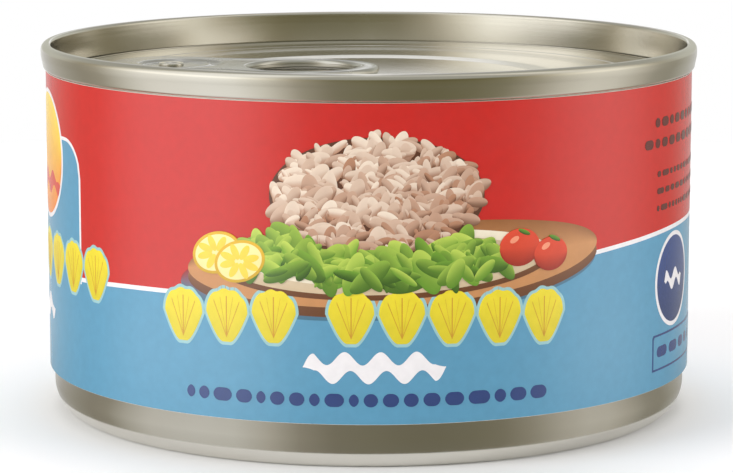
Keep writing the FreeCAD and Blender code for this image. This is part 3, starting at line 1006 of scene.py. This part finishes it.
# %% The cards' brightness by direction
card_table = np.array(
    [
        (-180, 1.0, 1.0, 0.99), (-168, 0.95, 0.95, 0.93), (-156, 0.66, 0.65, 0.63),
        (-144, 0.54, 0.52, 0.46), (-132, 0.42, 0.40, 0.33), (-120, 0.34, 0.31, 0.24),
        (-108, 0.40, 0.37, 0.29), (-96, 0.72, 0.70, 0.62), (-84, 0.98, 0.96, 0.90),
        (-60, 1.04, 1.03, 0.98), (-48, 1.0, 0.99, 0.93), (-36, 0.74, 0.71, 0.62),
        (-24, 0.38, 0.35, 0.27), (-12, 0.22, 0.20, 0.13), (0, 0.19, 0.175, 0.10),
        (12, 0.16, 0.145, 0.075), (24, 0.155, 0.14, 0.07), (36, 0.18, 0.165, 0.09),
        (48, 0.24, 0.22, 0.14), (60, 0.42, 0.39, 0.30), (72, 0.68, 0.65, 0.56),
        (84, 0.84, 0.81, 0.72), (96, 0.82, 0.79, 0.70), (108, 0.62, 0.59, 0.50),
        (120, 0.38, 0.36, 0.29), (132, 0.34, 0.32, 0.25), (144, 0.48, 0.47, 0.40),
        (156, 0.60, 0.59, 0.55), (168, 0.72, 0.72, 0.70), (180, 1.0, 1.0, 0.99),
    ]
)
wall_columns = 121
side = np.linspace(-90, 90, wall_columns)
mirrored = 2 * side
glow = np.stack([np.interp(mirrored, card_table[:, 0], part) for part in card_table[:, 1:].T], 1)
behind = smooth_step(np.abs(mirrored), 110, 150)[:, None]
print("cards from", card_table[0, 0], "to", card_table[-1, 0], "degrees, brightest", glow.max())

# %% [markdown]
# Near the can the cards fade towards a dull grey, as the can shades them. The upright ones have
# more contrast, the ones overhead are never darker than a soft grey, and the last rows blend to
# the zenith.

# %% The wall of cards
floor_dulling = np.array([0.55, 0.5, 0.42, 0.1, 0.22, 0.18, 0.0])[:, None, None]
near = glow * (1 - floor_dulling) + np.array([0.2, 0.19, 0.16]) * floor_dulling
upright = 1.3 * glow**1.25 * (1 - behind) + np.array([0.56, 0.56, 0.49]) * behind
overhead = np.maximum(glow * (1 - 0.45 * behind), [0.4, 0.4, 0.35])
zenith = np.array([0.6, 0.6, 0.56])
canopy = [overhead * (1 - part) + zenith * part for part in (0.35, 0.7, 1.0)]
glow_rows = np.concatenate([near, np.stack([upright] * 2 + [overhead] * 2 + canopy)])
floor_reach = [0.5, 8, 25, 60, 120, 250, 1000]
reach = np.array(floor_reach + [1000] * 4 + [800, 350, 1])[:, None]
height = np.array([0.01] * 7 + [60, 260, 600, 1600, 2300, 2700, 2800])[:, None]
foot, aim = np.radians(side), np.radians(mirrored)
across = wall_radius * np.sin(foot) + reach * np.sin(aim)
along = -wall_radius * np.cos(foot) - reach * np.cos(aim)
wall_points = np.stack(np.broadcast_arrays(across, along, height), 2)
wall_faces = grid_faces(len(reach), wall_columns, close_columns=False)
cards = stage_mesh("card_wall", wall_points.reshape(-1, 3), [wall_faces])
colour_mesh(cards, glow_rows.reshape(-1, 3), "POINT")
for rays in ("visible_camera", "visible_diffuse", "visible_shadow", "visible_transmission"):
    setattr(cards, rays, False)
black = {"Base_Color": (0, 0, 0, 1), "Specular_IOR_Level": 0.0}
card_paint, tree, shader = new_material("glowing_card", Emission_Strength=1.0, **black)
stored = add_node(tree, "ShaderNodeAttribute", {"attribute_name": "ink"})
tree.links.new(stored.outputs["Color"], shader.inputs["Emission Color"])
cards.data.materials.append(card_paint)

# %% [markdown]
# ## World and lamps
# The world is white where it is looked at or mirrored, and gives a gentler light to matt surfaces,
# so that pale print keeps its colour.

# %% World
world = bpy.data.worlds.new("studio")
bpy.context.scene.world = world
world.use_nodes = True
tree = world.node_tree
seen = tree.nodes["Background"]
seen.inputs["Color"].default_value = (1, 1, 1, 1)
seen.inputs["Strength"].default_value = 1.0
fill = add_node(tree, "ShaderNodeBackground", Color=(1, 1, 1, 1), Strength=0.72)
rays = add_node(tree, "ShaderNodeLightPath").outputs
larger = {"operation": "MAXIMUM"}
kinds = ("Is Camera Ray", "Is Glossy Ray", "Is Transmission Ray")
looked, glossed, passed = (rays[kind] for kind in kinds)
glance = add_node(tree, "ShaderNodeMath", larger, _0=looked, _1=glossed)
direct = add_node(tree, "ShaderNodeMath", larger, _0=glance.outputs[0], _1=passed)
ends = {"_1": fill.outputs["Background"], "_2": seen.outputs["Background"]}
choose = add_node(tree, "ShaderNodeMixShader", _0=direct.outputs[0], **ends)
tree.links.new(choose.outputs["Shader"], tree.nodes["World Output"].inputs["Surface"])
print("world: white where seen, fill", fill.inputs["Strength"].default_value)

# %% [markdown]
# Three large lamps shape the label: one overhead, a strong one at the left, and one lower at the
# right. They aren't seen in reflections, because the cards already stand for them there.

# %% Lamps
lamp_target = np.array([0, 0, 0.02])


def soft_lamp(name, place, size, power):
    """A square lamp that faces the target."""
    data = bpy.data.lights.new(name, "AREA")
    data.size, data.energy = size, power
    lamp = bpy.data.objects.new(name, data)
    bpy.context.scene.collection.objects.link(lamp)
    lamp.location = place
    away = np.array(place) - lamp_target
    lean = math.atan2(math.hypot(away[0], away[1]), away[2])
    lamp.rotation_euler = (lean, 0, math.atan2(away[1], away[0]) + math.pi / 2)
    lamp.visible_glossy = False
    print(name, power, "W")


soft_lamp("top_lamp", (0.0, 0.25, 0.9), 0.6, 2.6)
soft_lamp("left_lamp", (-0.8, -0.45, 0.4), 0.5, 5.0)
soft_lamp("right_lamp", (0.8, -0.35, 0.35), 0.5, 2.6)
